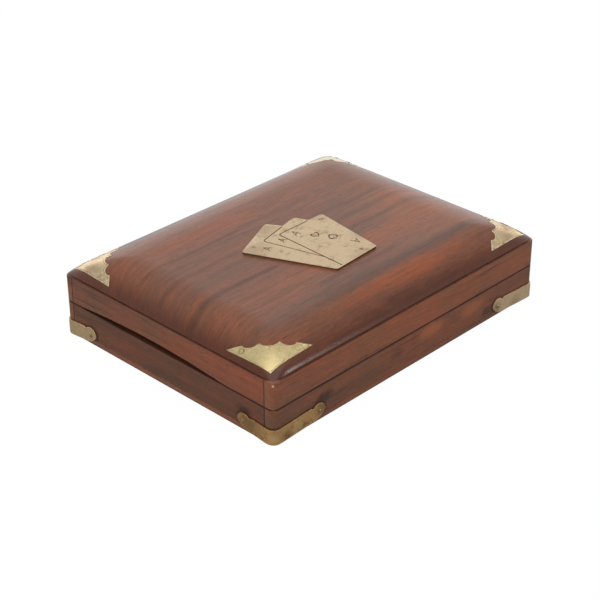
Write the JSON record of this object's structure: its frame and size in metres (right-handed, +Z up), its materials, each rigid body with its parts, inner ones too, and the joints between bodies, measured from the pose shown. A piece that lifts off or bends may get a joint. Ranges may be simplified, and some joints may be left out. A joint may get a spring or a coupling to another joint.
{
  "type": "playing card box",
  "caption": "Hinged wooden playing card box with pillow-shaped lid, brass corner mounts, inlaid brass lid corners and a brass fan of cards on top.",
  "frame": {"origin": "middle of the wooden underside, on the surface the box stands on", "axes": "+X along the long side, +Z up, the front of the box faces -Y and the hinges are on +Y"},
  "size_m": [0.168, 0.1313, 0.0377],
  "materials": {
    "rosewood": "streaked reddish brown, satin polish",
    "brass": "aged, brushed and slightly tarnished",
    "felt": "plain green felt"
  },
  "bodies": {
    "base": {"base_back_wall": "rosewood", "base_bottom": "rosewood", "base_front_wall": "rosewood", "base_left_wall": "rosewood", "base_mount_back_left": "brass", "base_mount_back_right": "brass", "base_mount_front_left": "brass", "base_mount_front_right": "brass", "base_right_wall": "rosewood", "deck_divider": "rosewood", "felt_left_well": "felt", "felt_right_well": "felt", "felt_tray": "felt", "hinge_base_screws": "brass", "hinge_left_base_leaf": "brass", "hinge_pins": "brass", "hinge_right_base_leaf": "brass", "mount_nails": "brass", "tray_rail": "rosewood"},
    "lid": {"card_fan_plate": "brass", "felt_lid": "felt", "hinge_left_lid_leaf": "brass", "hinge_lid_screws": "brass", "hinge_right_lid_leaf": "brass", "inlay_pins": "brass", "lid_back_wall": "rosewood", "lid_front_wall": "rosewood", "lid_inlay_back_left": "brass", "lid_inlay_back_right": "brass", "lid_inlay_front_left": "brass", "lid_inlay_front_right": "brass", "lid_left_wall": "rosewood", "lid_right_wall": "rosewood", "lid_top_board": "rosewood"}
  },
  "joints": [
    {"name": "lid_hinge", "type": "hinge", "parent": "base", "child": "lid", "pos_m": [0, 0.0652, 0.01615], "axis": [-1, 0, 0], "range_deg": [0, 160]}
  ]
}
